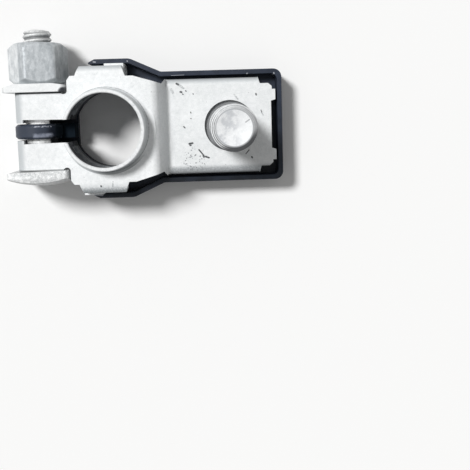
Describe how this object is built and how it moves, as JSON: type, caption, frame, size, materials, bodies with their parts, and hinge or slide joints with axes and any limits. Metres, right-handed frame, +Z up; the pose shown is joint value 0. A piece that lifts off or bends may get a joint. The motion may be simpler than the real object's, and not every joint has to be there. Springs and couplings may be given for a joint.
{
  "type": "battery terminal clamp",
  "caption": "Folded sheet-metal battery post clamp with tapered collar, clamp bolt and nut, upright cable stud and black insulating tray.",
  "frame": {"origin": "where the axis of the battery post meets the plane that the tray stands on", "axes": "+Z up the post, +X from the post towards the cable stud, +Y along the clamp bolt towards its nut"},
  "size_m": [0.0517, 0.0325, 0.0241],
  "materials": {
    "plated_sheet": "matt pale-grey plating, scuffed",
    "black_plastic": "satin moulded, blue-black",
    "bolt_plating": "dull zinc plating",
    "washer_plating": "dull pale plating",
    "nut_plating": "dull grey zinc plating",
    "stud_plating": "dull plating, brighter dished end"
  },
  "bodies": {
    "clamp": {"clamp_body": "plated_sheet", "insulating_tray": "black_plastic", "clamp_bolt": "bolt_plating", "cable_stud": "stud_plating"},
    "washer": {"square_washer": "washer_plating"},
    "nut": {"clamp_nut": "nut_plating"}
  },
  "joints": [
    {"name": "washer_slide", "type": "slide", "parent": "clamp", "child": "washer", "axis": [0, 1, 0], "range_m": [0, 0.00605]},
    {"name": "nut_turn", "type": "hinge", "parent": "washer", "child": "nut", "pos_m": [-0.01295, 0.012, 0.0057], "axis": [0, 1, 0], "range_deg": [0, 2160]}
  ],
  "couplings": [
    {"joint": "washer_slide", "follows": "nut_turn", "m_per_rad": 0.00015915}
  ]
}
